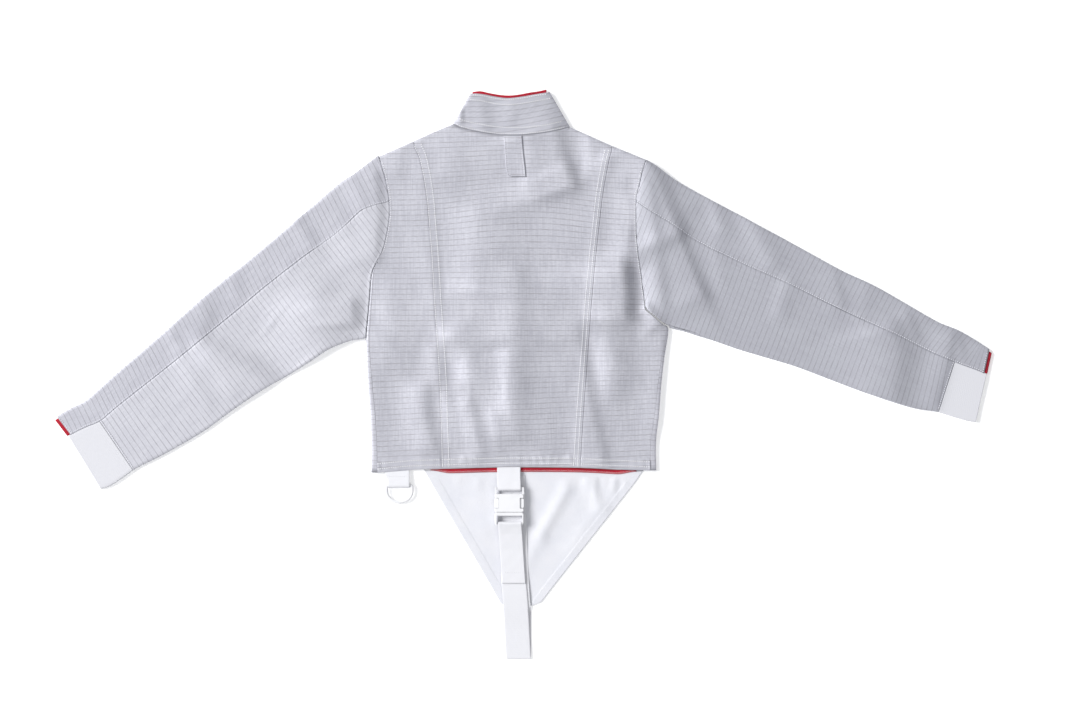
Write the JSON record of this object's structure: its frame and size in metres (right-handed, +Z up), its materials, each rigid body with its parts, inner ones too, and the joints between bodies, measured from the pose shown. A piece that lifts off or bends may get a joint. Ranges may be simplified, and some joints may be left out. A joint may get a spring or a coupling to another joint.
{
  "type": "fencing lame laid flat, back up",
  "caption": "Long-sleeved metallic fencing over-jacket lying back up, with stand collar, crotch flap, buckled strap and a hinged D-ring at the hem.",
  "frame": {"origin": "middle of the underside of the whole garment's box, on the surface it lies on", "axes": "+X across the shoulders towards the wearer's right sleeve, +Y from hem to collar, +Z up from the surface"},
  "size_m": [1.4018, 0.8546, 0.0122],
  "materials": {
    "lame_cloth": "metallic woven, satin",
    "red_cloth": "matt",
    "white_cloth": "matt twill",
    "webbing": "ribbed webbing",
    "elastic": "ribbed elastic",
    "white_plastic": "moulded",
    "hook_and_loop": "matt"
  },
  "bodies": {
    "garment": {"back_centre": "lame_cloth", "back_side_left": "lame_cloth", "back_side_right": "lame_cloth", "front_left": "lame_cloth", "front_right": "lame_cloth", "front_tape_loop": "hook_and_loop", "front_tape_hook": "hook_and_loop", "left_top_sleeve": "lame_cloth", "left_under_sleeve": "lame_cloth", "left_cuff_elastic": "elastic", "left_cuff_binding": "red_cloth", "right_top_sleeve": "lame_cloth", "right_under_sleeve": "lame_cloth", "right_cuff_elastic": "elastic", "right_cuff_binding": "red_cloth", "collar": "lame_cloth", "collar_facing": "red_cloth", "neck_tab": "lame_cloth", "flap": "white_cloth", "hem_binding": "red_cloth", "strap_webbing_upper": "webbing", "strap_webbing_lower": "webbing", "strap_elastic": "elastic", "buckle_female": "white_plastic", "buckle_male": "white_plastic", "ring_loop": "webbing"},
    "ring": {"d_ring": "white_plastic"}
  },
  "joints": [
    {"name": "ring_swing", "type": "hinge", "parent": "garment", "child": "ring", "pos_m": [-0.186, -0.16658, 0.00422], "axis": [-1, 0, 0], "range_deg": [0, 150]}
  ]
}
